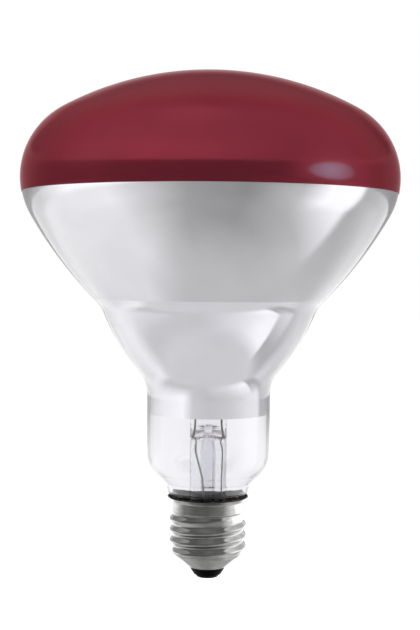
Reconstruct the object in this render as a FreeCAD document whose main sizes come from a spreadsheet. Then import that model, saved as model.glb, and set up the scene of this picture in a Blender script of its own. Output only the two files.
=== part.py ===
import FreeCAD, Part
import math
import os
from collections import namedtuple
from types import SimpleNamespace

import Sketcher

# Infrared reflector heat lamp with a 27 mm screw cap, in millimetres.
# The origin is the flat face of the centre contact, and +Z runs along the axis to the domed front.

# Driving dimensions
SIZES = {
    "overall_length": 170.3,
    # screw cap, from the contact upwards
    "contact_thickness": 0.9,
    "contact_radius": 3.9,
    "contact_bevel": 0.4,
    "eyelet_radius": 1.7,
    "eyelet_bore": 1.2,
    "eyelet_height": 3.2,
    "solder_height": 2.4,
    "insulator_foot_radius": 4.3,
    "insulator_drop": 2.75,
    "insulator_height": 6.6,
    "shell_sheet": 0.3,
    "taper_height": 4.55,
    "taper_rounding": 2.0,
    "root_radius": 12.1,
    "root_length": 14.1,
    "crest_radius": 13.05,
    "crest_width": 0.9,
    "ridge_sink": 0.15,
    "ridge_foot_width": 2.6,
    "thread_pitch": 3.62,
    "thread_start": 0.8,
    "thread_length": 12.3,
    "runout_height": 2.2,
    "skirt_radius": 12.6,
    "skirt_height": 3.6,
    "flare": 1.2,
    "cement_rise": 0.8,
    "cement_slot": 2.2,
    # blown glass, from the cap upwards
    "glass_wall": 1.0,
    "tail_radius": 10.6,
    "tail_sink": 1.6,
    "tail_length": 10.0,
    "collar_radius": 13.8,
    "collar_rounding": 1.2,
    "collar_height": 2.8,
    "foot_radius": 14.5,
    "foot_rounding": 2.5,
    "foot_height": 6.3,
    "neck_radius": 20.8,
    "neck_rounding": 10.0,
    "neck_fillet": 12.5,
    "lobe_radius": 72.0,
    "waist_centre_radius": 44.2,
    "waist_centre_rise": 25.4,
    "waist_fillet": 9.0,
    "flank_radius": 136.0,
    "equator_rise": 47.8,
    "equator_radius": 63.3,
    "shoulder_radius": 25.7,
    "dome_height": 35.5,
    # coatings
    "lacquer": 0.15,
    "mirror_film": 0.15,
    "front_edge_drop": 4.8,
    "mirror_drop": 5.5,
    # stem and what runs inside it
    "stem_foot": 1.0,
    "stem_radius": 6.2,
    "stem_wall": 1.2,
    "stem_flare_height": 11.0,
    "stem_flare_rounding": 14.0,
    "stem_length": 31.6,
    "press_height": 10.5,
    "press_thickness": 4.4,
    "press_slope_height": 3.5,
    "press_rounding": 4.0,
    "arbor_radius": 1.6,
    "bead_drop": 15.0,
    "bead_radius": 2.8,
    "bead_height": 3.5,
    "bead_rounding": 1.0,
    "exhaust_radius": 2.25,
    "exhaust_bore": 1.5,
    "exhaust_length": 34.6,
    "exhaust_hole_radius": 1.2,
    "exhaust_hole_rise": 2.7,
    # wires, filament and its hooks
    "lead_radius": 0.3,
    "lead_spread": 4.4,
    "lead_bend": 1.6,
    "side_lead_bend": 0.6,
    "lead_aside": 1.4,
    "lead_ahead": 3.3,
    "lead_in_solder": 1.8,
    "lead_rise": 3.0,
    "clearance": 0.05,
    "focus_rise": 6.0,
    "filament_radius": 11.0,
    "filament_coil_radius": 0.9,
    "filament_gap_angle": 60.0,
    "support_wire_radius": 0.25,
    "support_depth": 1.2,
    "support_reach": 2.5,
    "support_bend": 1.5,
    "support_clearance": 0.1,
    "side_solder_radius": 0.9,
}
SUPPORT_COUNT = 5
SUPPORT_SPAN = 180.0
FULL_TURN = 360.0
DIAGONAL = math.sqrt(2.0)
TAPER_RUN = 1.23
MOUTH_SHARE = 0.7
VOLUME_TOLERANCE = 0.01
SHEET_NAME = "Sizes"

ORIGIN = -1
AXIS_LINE = -2
BASE_LINE = -1
START = 1
END = 2
CENTRE = 3


class Length:
    """A size with its value and the expression that ties it to the sheet."""

    def __init__(self, value, text):
        self.value = value
        self.text = text

    def joined(self, sign, other, value):
        return Length(value, f"({self.text} {sign} {other.text})")

    def __add__(self, other):
        return self.joined("+", other, self.value + other.value)

    def __sub__(self, other):
        return self.joined("-", other, self.value - other.value)

    def times(self, factor):
        return Length(self.value * factor, f"({self.text} * {factor!r})")


Corner = namedtuple("Corner", "r z rounding", defaults=(None,))
Strand = namedtuple("Strand", "centre radius fixed")
ZERO = Length(0.0, "0")


def loose(value):
    """A starting value for a place that only the drawing's ties decide."""
    return Length(value, "0")


def make_sheet(document):
    """Write the driving dimensions to the sheet and return them as bound lengths."""
    sheet = document.addObject("Spreadsheet::Sheet", SHEET_NAME)
    lengths = {}
    for row, (name, value) in enumerate(SIZES.items(), start=1):
        cell = f"A{row}"
        sheet.set(cell, str(value))
        sheet.setAlias(cell, name)
        lengths[name] = Length(value, f"{SHEET_NAME}.{name}")
    document.recompute()
    return SimpleNamespace(**lengths)


def work_out_heights(size):
    """Stack the heights of the cap, glass, stem and filament from the driving dimensions."""
    at = SimpleNamespace()
    at.insulator_foot = size.contact_thickness
    at.shell_end = at.insulator_foot + size.insulator_drop
    at.taper_top = at.shell_end + size.taper_height
    at.root_top = at.taper_top + size.root_length
    at.skirt_foot = at.root_top + (size.skirt_radius - size.root_radius)
    at.skirt_top = at.skirt_foot + size.skirt_height
    at.rim = at.skirt_top + size.flare
    at.tail_top = at.rim - size.tail_sink
    at.tail_end = at.tail_top - size.tail_length
    at.collar = at.tail_top + (size.collar_radius - size.tail_radius)
    at.foot = at.collar + size.collar_height
    at.neck_foot = at.foot + size.foot_height
    at.apex = size.overall_length
    at.equator = at.apex - size.dome_height
    at.waist = at.equator - size.equator_rise
    at.neck_top = at.waist - size.waist_centre_rise
    at.front_edge = at.equator - size.front_edge_drop
    at.mirror_edge = at.neck_top - size.mirror_drop
    at.stem_end = at.tail_end - size.stem_foot
    at.stem_cavity = at.tail_end + size.stem_length
    at.press_top = at.stem_cavity + size.press_height
    at.filament = at.waist + size.focus_rise
    at.bead_foot = at.filament - size.bead_drop
    at.bead_middle = at.bead_foot + size.bead_height.times(0.5)
    at.bead_top = at.bead_foot + size.bead_height
    at.exhaust_hole = at.stem_cavity + size.exhaust_hole_rise
    at.exhaust_tip = at.stem_cavity - size.exhaust_length
    return at


class Drawing:
    """A sketch on one of its body's own planes, with every size bound to the sheet."""

    def __init__(self, body, name, role="XZ_Plane"):
        plane = next(item for item in body.Origin.OriginFeatures if item.Role == role)
        self.sketch = body.newObject("Sketcher::SketchObject", name)
        self.sketch.AttachmentSupport = [(plane, "")]
        self.sketch.MapMode = "FlatFace"

    def lift(self, height):
        """Move the sketch along the normal of its plane."""
        self.sketch.AttachmentOffset = FreeCAD.Placement(
            FreeCAD.Vector(0, 0, height.value), FreeCAD.Rotation()
        )
        self.sketch.setExpression("AttachmentOffset.Base.z", height.text)

    def tie(self, kind, *where):
        self.sketch.addConstraint(Sketcher.Constraint(kind, *where))

    def fix(self, kind, *where, size):
        index = self.sketch.addConstraint(Sketcher.Constraint(kind, *where, size.value))
        self.sketch.setExpression(f"Constraints[{index}]", size.text)

    def place(self, item, point, r, z):
        """Set a point's distance from the axis and its height."""
        if r.value:
            self.fix("DistanceX", ORIGIN, START, item, point, size=r)
        else:
            self.tie("PointOnObject", item, point, AXIS_LINE)
        if z.value:
            self.fix("DistanceY", ORIGIN, START, item, point, size=z)
        else:
            self.tie("PointOnObject", item, point, BASE_LINE)

    def line(self, first, last):
        return self.sketch.addGeometry(Part.LineSegment(first, last))

    def arc(self, centre, radius, first, last):
        """Add the shorter arc between two points and say which of its ends is which."""
        from_angle = math.atan2(first.y - centre.y, first.x - centre.x)
        to_angle = math.atan2(last.y - centre.y, last.x - centre.x)
        sweep = (to_angle - from_angle) % (2 * math.pi)
        circle = Part.Circle(centre, FreeCAD.Vector(0, 0, 1), radius)
        if sweep < math.pi:
            shape = Part.ArcOfCircle(circle, from_angle, from_angle + sweep)
            return self.sketch.addGeometry(shape), START, END
        shape = Part.ArcOfCircle(circle, to_angle, to_angle + 2 * math.pi - sweep)
        return self.sketch.addGeometry(shape), END, START

    def circle(self, r, z, radius):
        centre = FreeCAD.Vector(r.value, z.value, 0)
        item = self.sketch.addGeometry(Part.Circle(centre, FreeCAD.Vector(0, 0, 1), radius.value))
        self.place(item, CENTRE, r, z)
        self.fix("Radius", item, size=radius)
        return item

    def sides(self, corners, closed=True, placed=True):
        """Draw straight sides through the corners, rounded where a corner says so."""
        points = [FreeCAD.Vector(corner.r.value, corner.z.value, 0) for corner in corners]
        count = len(corners)
        trims = [self.trim(points, index, corners[index].rounding) for index in range(count)]
        lines = []
        for index in range(count if closed else count - 1):
            after = (index + 1) % count
            lines.append(self.line(trims[index][1], trims[after][0]))
        for index, corner in enumerate(corners):
            before = lines[index - 1] if closed or index else None
            after = lines[index] if index < len(lines) else None
            self.turn(corner, trims[index], before, after, placed)
        return lines

    def set_in(self, corners, lines, inset):
        """Draw an open run of sides again, set in to its left by one distance."""
        points = [FreeCAD.Vector(corner.r.value, corner.z.value, 0) for corner in corners]
        ways = [(last - first).normalize() for first, last in zip(points, points[1:])]
        moved = []
        for index, corner in enumerate(corners):
            before = ways[max(index - 1, 0)]
            after = ways[min(index, len(ways) - 1)]
            left = FreeCAD.Vector(-before.y - after.y, before.x + after.x, 0)
            point = points[index] + left * (inset.value / (1 + before.dot(after)))
            rounding = corner.rounding
            if rounding is not None:
                bulges = before.x * after.y > before.y * after.x
                rounding = rounding - inset if bulges else rounding + inset
            moved.append(Corner(loose(point.x), loose(point.y), rounding))
        inner = self.sides(moved, closed=False, placed=False)
        for line, outer in zip(inner, lines):
            self.tie("Parallel", line, outer)
            self.fix("Distance", line, START, outer, size=inset)
        return inner

    def trim(self, points, index, rounding):
        """Where the sides before and after a corner end."""
        corner = points[index]
        if rounding is None:
            return corner, corner
        back = (points[index - 1] - corner).normalize()
        ahead = (points[(index + 1) % len(points)] - corner).normalize()
        half_turn = (math.pi - back.getAngle(ahead)) / 2
        reach = rounding.value * math.tan(half_turn)
        return corner + back * reach, corner + ahead * reach

    def turn(self, corner, trim, before, after, placed):
        """Join the sides at a corner, sharp or by an arc that touches both."""
        if corner.rounding is None:
            if before is not None and after is not None:
                self.tie("Coincident", before, END, after, START)
            end = (before, END) if after is None else (after, START)
            if placed:
                self.place(*end, corner.r, corner.z)
            return
        point = FreeCAD.Vector(corner.r.value, corner.z.value, 0)
        if placed:
            mark = self.sketch.addGeometry(Part.Point(point), True)
            self.place(mark, START, corner.r, corner.z)
            self.tie("PointOnObject", mark, START, before)
            self.tie("PointOnObject", mark, START, after)
        middle = (trim[0] + trim[1]) * 0.5
        reach = (trim[0] - point).Length
        toward = (middle - point).normalize()
        centre = point + toward * math.hypot(reach, corner.rounding.value)
        arc, first, last = self.arc(centre, corner.rounding.value, trim[0], trim[1])
        self.tie("Tangent", before, END, arc, first)
        self.tie("Tangent", after, START, arc, last)
        self.fix("Radius", arc, size=corner.rounding)


def new_body(document, label):
    body = document.addObject("PartDesign::Body", label)
    body.Label = label
    return body


def add_feature(drawing, kind, name, **settings):
    """Add a feature that is made from a drawing in that drawing's body."""
    body = drawing.sketch.getParentGeoFeatureGroup()
    feature = body.newObject(f"PartDesign::{kind}", name)
    feature.Profile = drawing.sketch
    for setting, value in settings.items():
        if isinstance(value, Length):
            setattr(feature, setting, value.value)
            feature.setExpression(setting, value.text)
        else:
            setattr(feature, setting, value)
    return feature


def turn_about_axis(drawing, kind="Revolution", name="Turned"):
    axis = (drawing.sketch, ["V_Axis"])
    return add_feature(drawing, kind, name, ReferenceAxis=axis, Angle=FULL_TURN)


def turned_body(document, label, corners):
    """A body turned from one closed outline of corners."""
    body = new_body(document, label)
    drawing = Drawing(body, f"{label}_outline")
    drawing.sides(corners)
    turn_about_axis(drawing)
    return body


# Screw cap


def shell_wall(size, at):
    """Corners of the shell's outside and, set in by the sheet, of its inside."""
    outside = [
        Corner(size.root_radius - size.taper_height.times(TAPER_RUN), at.shell_end),
        Corner(size.root_radius, at.taper_top),
        Corner(size.root_radius, at.root_top),
        Corner(size.skirt_radius, at.skirt_foot),
        Corner(size.skirt_radius, at.skirt_top),
        Corner(size.skirt_radius + size.flare, at.rim),
    ]
    sheet = size.shell_sheet
    slant = sheet.times(DIAGONAL)
    lift = sheet.times(DIAGONAL - 1.0)
    first, taper_top, last = outside[0], outside[1], outside[-1]
    taper_slant = sheet.times(math.hypot(TAPER_RUN, 1.0))
    taper_lift = sheet.times((math.hypot(TAPER_RUN, 1.0) - 1.0) / TAPER_RUN)
    inside = [Corner(first.r - taper_slant, first.z), Corner(taper_top.r - sheet, taper_top.z + taper_lift)]
    inside += [Corner(corner.r - sheet, corner.z + lift) for corner in outside[2:-1]]
    inside += [Corner(last.r - slant, last.z)]
    return outside, inside


def make_screw_shell(document, size, at):
    """Thin sheet cap: tapered end, thread rolled into the sheet, plain skirt and flared rim."""
    body = new_body(document, "screw_shell")
    outside, inside = shell_wall(size, at)
    outside[1] = outside[1]._replace(rounding=size.taper_rounding)
    drawing = Drawing(body, "shell_outline")
    drawing.sides(outside + inside[::-1])
    turn_about_axis(drawing)
    document.recompute()
    sheet = size.shell_sheet
    ridge = ridge_drawing(body, size, at, "ridge", ZERO)
    add_feature(ridge, "AdditiveHelix", "Thread", **helix_settings(ridge, size))
    document.recompute()
    relief = ridge_drawing(body, size, at, "relief", sheet)
    add_feature(relief, "SubtractiveHelix", "Relief", **helix_settings(relief, size))
    document.recompute()
    trim_thread_start(body, size, at)
    trim_thread_end(body, size, at)
    return body


def helix_settings(drawing, size):
    return {
        "ReferenceAxis": (drawing.sketch, ["V_Axis"]),
        "Mode": "pitch-height-angle",
        "Pitch": size.thread_pitch,
        "Height": size.thread_length,
    }


def ridge_drawing(body, size, at, name, inset):
    """Section of the rolled ridge on the side away from +X, set in for the hollow behind it."""
    drawing = Drawing(body, name)
    half_turn = FreeCAD.Rotation(FreeCAD.Vector(0, 1, 0), FULL_TURN / 2)
    drawing.sketch.AttachmentOffset = FreeCAD.Placement(FreeCAD.Vector(), half_turn)
    middle = at.taper_top + size.thread_start
    foot = (size.ridge_foot_width - inset).times(0.5)
    crest = (size.crest_width - inset).times(0.5)
    base = size.root_radius - size.ridge_sink - inset
    top = size.crest_radius - inset
    drawing.sides([
        Corner(base, middle - foot),
        Corner(top, middle - crest),
        Corner(top, middle + crest),
        Corner(base, middle + foot),
    ])
    return drawing


def trim_thread_start(body, size, at):
    """Cut the thread's first turn back so that it grows out of the root."""
    bare = size.root_radius + size.clearance
    clear = size.crest_radius + size.runout_height
    drawing = Drawing(body, "thread_start_trim")
    drawing.sides([
        Corner(bare, at.taper_top),
        Corner(size.crest_radius, at.taper_top + size.runout_height),
        Corner(clear, at.taper_top + size.runout_height),
        Corner(clear, at.shell_end),
        Corner(bare, at.shell_end),
    ])
    turn_about_axis(drawing, "Groove", "ThreadStart")


def trim_thread_end(body, size, at):
    """Cut the thread's last turn back so that it dies into the skirt."""
    bare = size.skirt_radius + size.clearance
    clear = size.crest_radius + size.runout_height
    drawing = Drawing(body, "thread_end_trim")
    drawing.sides([
        Corner(bare, at.root_top),
        Corner(size.crest_radius, at.root_top - size.runout_height),
        Corner(clear, at.root_top - size.runout_height),
        Corner(clear, at.skirt_foot),
        Corner(bare, at.skirt_foot),
    ])
    turn_about_axis(drawing, "Groove", "ThreadEnd")


def make_insulator(document, size, at):
    """Black glass cone, moulded into the tapered end of the shell, with a hole for the eyelet."""
    end = shell_wall(size, at)[1][0]
    reach = size.insulator_height - at.shell_end
    return turned_body(document, "insulator", [
        Corner(size.eyelet_radius, at.insulator_foot),
        Corner(size.insulator_foot_radius, at.insulator_foot),
        end,
        Corner(end.r + reach.times(TAPER_RUN), size.insulator_height),
        Corner(size.eyelet_radius, size.insulator_height),
    ])


def make_centre_contact(document, size, at):
    """Pressed brass plate with an eyelet that lines the insulator's hole."""
    face = size.contact_radius - size.contact_bevel
    return turned_body(document, "centre_contact", [
        Corner(size.eyelet_bore, ZERO),
        Corner(face, ZERO),
        Corner(size.contact_radius, size.contact_bevel),
        Corner(size.contact_radius, at.insulator_foot),
        Corner(size.eyelet_radius, at.insulator_foot),
        Corner(size.eyelet_radius, size.eyelet_height),
        Corner(size.eyelet_bore, size.eyelet_height),
    ])


def make_centre_solder(document, size):
    """Solder plug that fills the eyelet round the end of the centre lead."""
    lead_end = centre_lead_end(size)
    return turned_body(document, "centre_solder", [
        Corner(ZERO, ZERO),
        Corner(size.eyelet_bore, ZERO),
        Corner(size.eyelet_bore, size.solder_height),
        Corner(size.lead_radius, size.solder_height),
        Corner(size.lead_radius, lead_end),
        Corner(ZERO, lead_end),
    ])


def make_basing_cement(document, size, at):
    """Cement ring between glass and shell, with a slot at the back for the side lead."""
    inside = shell_wall(size, at)[1]
    skirt_foot, skirt_top, rim = inside[-3:]
    foot = skirt_foot.z
    top = at.rim + size.cement_rise
    body = turned_body(document, "basing_cement", [
        Corner(size.tail_radius, foot),
        skirt_foot,
        skirt_top,
        rim,
        Corner(size.tail_radius + (top - at.tail_top), top),
        Corner(size.tail_radius, at.tail_top),
    ])
    document.recompute()
    drawing = Drawing(body, "lead_slot")
    half = size.cement_slot.times(0.5)
    left = FreeCAD.Vector(-half.value, foot.value, 0)
    right = FreeCAD.Vector(half.value, foot.value, 0)
    rise = FreeCAD.Vector(0, (top - foot).value, 0)
    bottom = drawing.line(left, right)
    side = drawing.line(right, right + rise)
    lid = drawing.line(right + rise, left + rise)
    far = drawing.line(left + rise, left)
    for before, after in ((bottom, side), (side, lid), (lid, far), (far, bottom)):
        drawing.tie("Coincident", before, END, after, START)
    drawing.tie("Vertical", side)
    drawing.tie("Vertical", far)
    drawing.tie("Symmetric", bottom, START, bottom, END, AXIS_LINE)
    drawing.tie("Horizontal", lid)
    drawing.place(side, START, half, foot)
    drawing.fix("DistanceY", ORIGIN, START, side, END, size=top)
    add_feature(drawing, "Pocket", "Slot", Length=size.collar_radius)
    return body


# Blown glass and its coatings


def circle_meeting(first, first_reach, second, second_reach):
    """The point on the left of the way from first to second that lies at both reaches."""
    way = second - first
    along = (first_reach ** 2 - second_reach ** 2 + way.Length ** 2) / (2 * way.Length)
    across = math.sqrt(first_reach ** 2 - along ** 2)
    ahead = FreeCAD.Vector(way).normalize()
    left = FreeCAD.Vector(-ahead.y, ahead.x, 0)
    return first + ahead * along + left * across


def bulb_strands(size, at):
    """Arcs of the blown outline from the neck to the apex, each touching the next."""
    neck = FreeCAD.Vector(size.neck_radius.value + size.neck_fillet.value, at.neck_top.value, 0)
    waist = FreeCAD.Vector(size.waist_centre_radius.value, at.waist.value, 0)
    shoulder_r = size.equator_radius - size.shoulder_radius
    shoulder = FreeCAD.Vector(shoulder_r.value, at.equator.value, 0)
    lobe = circle_meeting(
        neck, size.neck_fillet.value + size.lobe_radius.value,
        waist, size.waist_fillet.value + size.lobe_radius.value,
    )
    flank = circle_meeting(
        waist, size.waist_fillet.value + size.flank_radius.value,
        shoulder, size.flank_radius.value - size.shoulder_radius.value,
    )
    rise = size.dome_height.value
    knuckle = size.shoulder_radius.value
    dome_radius = (shoulder_r.value ** 2 + rise ** 2 - knuckle ** 2) / (2 * (rise - knuckle))
    dome = FreeCAD.Vector(0, at.apex.value - dome_radius, 0)
    return {
        "neck": Strand(neck, size.neck_fillet, None),
        "lobe": Strand(lobe, size.lobe_radius, None),
        "waist": Strand(waist, size.waist_fillet, (size.waist_centre_radius, at.waist)),
        "flank": Strand(flank, size.flank_radius, None),
        "shoulder": Strand(shoulder, size.shoulder_radius, (shoulder_r, at.equator)),
        "dome": Strand(dome, loose(dome_radius), None),
    }


HOLLOW_STRANDS = ("neck", "waist")
STRAND_ORDER = ("neck", "lobe", "waist", "flank", "shoulder", "dome")


def point_at_height(centre, radius, height):
    """The outer point of a circle at a height."""
    rise = height - centre.y
    return FreeCAD.Vector(centre.x + math.sqrt(radius ** 2 - rise ** 2), height, 0)


def draw_strands(drawing, size, at, inset, names, first_height=None, last_height=None):
    """Draw the named run of arcs, set in from the outside, and return its two ends."""
    strands = bulb_strands(size, at)

    def radius_of(name):
        strand = strands[name]
        return strand.radius + inset if name in HOLLOW_STRANDS else strand.radius - inset

    def touch(lower, upper):
        centre, other = strands[lower].centre, strands[upper].centre
        same_side = (lower in HOLLOW_STRANDS) == (upper in HOLLOW_STRANDS)
        away = (other - centre).normalize()
        if same_side and radius_of(lower).value < radius_of(upper).value:
            away = away * -1
        return centre + away * radius_of(lower).value

    joints = [touch(lower, upper) for lower, upper in zip(names, names[1:])]
    if first_height is None:
        foot = FreeCAD.Vector((size.neck_radius - inset).value, at.neck_top.value, 0)
    else:
        foot = point_at_height(strands[names[0]].centre, radius_of(names[0]).value, first_height.value)
    if last_height is None:
        head = FreeCAD.Vector(0, (at.apex - inset).value, 0)
    else:
        head = point_at_height(strands[names[-1]].centre, radius_of(names[-1]).value, last_height.value)
    stops = [foot] + joints + [head]
    ends = []
    for name, first, last in zip(names, stops, stops[1:]):
        strand = strands[name]
        arc, begin, finish = drawing.arc(strand.centre, radius_of(name).value, first, last)
        if name == "dome":
            drawing.tie("PointOnObject", arc, CENTRE, AXIS_LINE)
        else:
            drawing.fix("Radius", arc, size=radius_of(name))
        if strand.fixed:
            drawing.place(arc, CENTRE, *strand.fixed)
        if ends:
            drawing.tie("Tangent", *ends[-1][1], arc, begin)
        ends.append(((arc, begin), (arc, finish)))
    lower_end, upper_end = ends[0][0], ends[-1][1]
    if first_height is not None:
        drawing.fix("DistanceY", ORIGIN, START, *lower_end, size=first_height)
    if last_height is None:
        drawing.place(*upper_end, ZERO, at.apex - inset)
    else:
        drawing.fix("DistanceY", ORIGIN, START, *upper_end, size=last_height)
    return (lower_end, foot), (upper_end, head)


def close_ends(drawing, one, other):
    """Join two strand ends by a straight line."""
    line = drawing.line(one[1], other[1])
    drawing.tie("Coincident", line, START, *one[0])
    drawing.tie("Coincident", line, END, *other[0])
    return line


def make_blown_wall(document, size, at):
    """Blown bulb of one wall: tail, collar, neck, lobe, flank and domed front."""
    body = new_body(document, "blown_wall")
    drawing = Drawing(body, "bulb_outline")
    wall = size.glass_wall
    corners = [
        Corner(size.tail_radius, at.tail_end),
        Corner(size.tail_radius, at.tail_top),
        Corner(size.collar_radius, at.collar, size.collar_rounding),
        Corner(size.foot_radius, at.foot, size.foot_rounding),
        Corner(size.neck_radius, at.neck_foot, size.neck_rounding),
        Corner(size.neck_radius, at.neck_top),
    ]
    outer_lines = drawing.sides(corners, closed=False)
    inner_lines = drawing.set_in(corners, outer_lines, wall)
    drawing.fix("DistanceY", ORIGIN, START, inner_lines[-1], END, size=at.neck_top)
    heads = []
    for lines, inset in ((outer_lines, ZERO), (inner_lines, wall)):
        foot, head = draw_strands(drawing, size, at, inset, STRAND_ORDER)
        drawing.tie("Tangent", lines[-1], END, *foot[0])
        heads.append(head)
    close_ends(drawing, *heads)
    mouth = FreeCAD.Vector(size.tail_radius.value, at.tail_end.value, 0)
    inner_mouth = mouth - FreeCAD.Vector(wall.value, 0, 0)
    lip = close_ends(drawing, ((inner_lines[0], START), inner_mouth), ((outer_lines[0], START), mouth))
    drawing.tie("Horizontal", lip)
    turn_about_axis(drawing)
    return body


def make_glass_envelope(document, size, at):
    """The blown wall as stacked solids, tail, neck, lobe and front, none of them dished outside."""
    wall = make_blown_wall(document, size, at)
    spare = size.glass_wall
    joins = [at.tail_end - spare, at.tail_top, at.neck_top, at.waist, at.apex + spare]
    slices = []
    for name, low, high in zip(("tail", "neck", "lobe", "front"), joins, joins[1:]):
        slab = document.addObject("Part::Cylinder", f"{name}_slab")
        slab.setExpression("Radius", (size.equator_radius + spare).text)
        slab.setExpression("Height", (high - low).text)
        slab.setExpression("Placement.Base.z", low.text)
        piece = document.addObject("Part::Common", f"glass_{name}")
        piece.Base = slab
        piece.Tool = wall
        slices.append(piece)
    glass = document.addObject("Part::Compound", "glass_envelope")
    glass.Label = "glass_envelope"
    glass.Links = slices
    return glass


def make_ruby_coating(document, size, at):
    """Red lacquer skin over the domed front, down to its edge below the equator."""
    body = new_body(document, "ruby_coating")
    drawing = Drawing(body, "lacquer_outline")
    front = STRAND_ORDER[-2:]
    gap = ZERO - size.clearance
    outer = draw_strands(drawing, size, at, gap - size.lacquer, front, first_height=at.front_edge)
    inner = draw_strands(drawing, size, at, gap, front, first_height=at.front_edge)
    close_ends(drawing, outer[0], inner[0])
    close_ends(drawing, outer[1], inner[1])
    turn_about_axis(drawing)
    return body


def make_mirror_coating(document, size, at):
    """Aluminium film inside the glass, from the edge of the red front down into the neck."""
    body = new_body(document, "mirror_coating")
    drawing = Drawing(body, "film_outline")
    back = STRAND_ORDER[:-1]
    feet, heads = [], []
    for inset in (size.glass_wall, size.glass_wall + size.mirror_film):
        neck_r = size.neck_radius - inset
        lines = drawing.sides([Corner(neck_r, at.mirror_edge), Corner(neck_r, at.neck_top)], closed=False)
        foot, head = draw_strands(drawing, size, at, inset, back, last_height=at.front_edge)
        drawing.tie("Tangent", lines[-1], END, *foot[0])
        feet.append(((lines[0], START), FreeCAD.Vector(neck_r.value, at.mirror_edge.value, 0)))
        heads.append(head)
    close_ends(drawing, *feet)
    close_ends(drawing, *heads)
    turn_about_axis(drawing)
    return body


# Stem, exhaust tube and wires


def make_stem(document, size, at):
    """Glass flare, tube, flattened press and arbor rod with the bead that holds the hooks."""
    bore = size.stem_radius - size.stem_wall
    mouth = size.tail_radius - size.glass_wall
    flare_top = at.tail_end + size.stem_flare_height
    body = turned_body(document, "stem", [
        Corner(mouth - size.stem_wall, at.stem_end),
        Corner(size.tail_radius, at.stem_end),
        Corner(size.tail_radius, at.tail_end),
        Corner(mouth, at.tail_end),
        Corner(size.stem_radius, flare_top, size.stem_flare_rounding),
        Corner(size.stem_radius, at.press_top),
        Corner(size.arbor_radius, at.press_top),
        Corner(size.arbor_radius, at.bead_foot),
        Corner(size.bead_radius, at.bead_foot, size.bead_rounding),
        Corner(size.bead_radius, at.bead_top, size.bead_rounding),
        Corner(ZERO, at.bead_top),
        Corner(ZERO, at.exhaust_hole + size.exhaust_bore),
        Corner(size.exhaust_bore, at.exhaust_hole + size.exhaust_bore),
        Corner(size.exhaust_bore, at.stem_cavity),
        Corner(bore, at.stem_cavity),
        Corner(bore, flare_top, size.stem_flare_rounding),
        Corner(mouth - size.stem_wall, at.tail_end),
    ])
    document.recompute()
    flatten_press(document, body, size, at)
    drill_stem(document, body, size, at)
    return body


def flatten_press(document, body, size, at):
    """Squeeze the tube's closed top to a flat press from both sides."""
    half = size.press_thickness.times(0.5)
    drawing = Drawing(body, "press_side", "YZ_Plane")
    clear = size.stem_radius + size.stem_wall
    drawing.sides([
        Corner(clear, at.stem_cavity),
        Corner(half, at.stem_cavity + size.press_slope_height, size.press_rounding),
        Corner(half, at.press_top),
        Corner(clear, at.press_top),
    ])
    cut = add_feature(drawing, "Pocket", "Press", Type="ThroughAll", SideType="Symmetric")
    document.recompute()
    mirror = body.newObject("PartDesign::Mirrored", "PressBack")
    plane = next(item for item in body.Origin.OriginFeatures if item.Role == "XZ_Plane")
    mirror.Originals = [cut]
    mirror.MirrorPlane = (plane, [""])
    body.Tip = mirror
    document.recompute()


def drill_stem(document, body, size, at):
    """Leave ways through the press for the leads and the gas, and sockets for the hooks."""
    leads = Drawing(body, "lead_ways", "XY_Plane")
    leads.lift(at.press_top)
    right = leads.circle(size.lead_spread, ZERO, size.lead_radius)
    left_centre = FreeCAD.Vector(-size.lead_spread.value, 0, 0)
    left = leads.sketch.addGeometry(Part.Circle(left_centre, FreeCAD.Vector(0, 0, 1), size.lead_radius.value))
    leads.tie("Symmetric", left, CENTRE, right, CENTRE, ORIGIN, START)
    leads.tie("Equal", left, right)
    add_feature(leads, "Pocket", "LeadWays", Length=size.press_height)
    gas = Drawing(body, "gas_hole", "XZ_Plane")
    gas.circle(ZERO, at.exhaust_hole, size.exhaust_hole_radius)
    add_feature(gas, "Pocket", "GasHole", Length=size.stem_radius, Reversed=True)
    document.recompute()
    socket = Drawing(body, "hook_socket", "YZ_Plane")
    socket.lift(size.bead_radius - size.support_depth)
    socket.circle(ZERO, at.bead_middle, size.support_wire_radius)
    hole = add_feature(socket, "Pocket", "HookSocket", Length=size.bead_radius, Reversed=True)
    document.recompute()
    ring = body.newObject("PartDesign::PolarPattern", "HookSockets")
    axis = next(item for item in body.Origin.OriginFeatures if item.Role == "Z_Axis")
    ring.Originals = [hole]
    ring.Axis = (axis, [""])
    ring.Angle = SUPPORT_SPAN
    ring.Occurrences = SUPPORT_COUNT
    body.Tip = ring


def make_exhaust_tube(document, size, at):
    """Thin tube hung from the press inside the stem, sealed to a rounded tip."""
    wall = size.exhaust_radius - size.exhaust_bore
    return turned_body(document, "exhaust_tube", [
        Corner(ZERO, at.exhaust_tip),
        Corner(size.exhaust_radius, at.exhaust_tip, size.exhaust_bore),
        Corner(size.exhaust_radius, at.stem_cavity),
        Corner(size.exhaust_bore, at.stem_cavity),
        Corner(size.exhaust_bore, at.exhaust_tip + size.exhaust_radius),
        Corner(ZERO, at.exhaust_tip + wall),
    ])


def centre_lead_end(size):
    """Height at which the centre lead stops inside its solder."""
    return size.solder_height - size.lead_in_solder


def filament_end(size, side):
    """Place of a filament end across the axis, on the left (-1) or right (+1)."""
    half_gap = math.radians(size.filament_gap_angle.value / 2)
    r = size.filament_radius.value
    return side * r * math.sin(half_gap), -r * math.cos(half_gap)


def lead_top(size, at, side):
    """Points of a lead from above the press to the middle of its filament end."""
    x, y = filament_end(size, side)
    rise = size.lead_rise.value
    return [
        (side * size.lead_spread.value, 0, at.press_top.value + rise),
        (x, y, at.filament.value - size.filament_coil_radius.value - rise),
        (x, y, at.filament.value),
    ]


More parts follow.
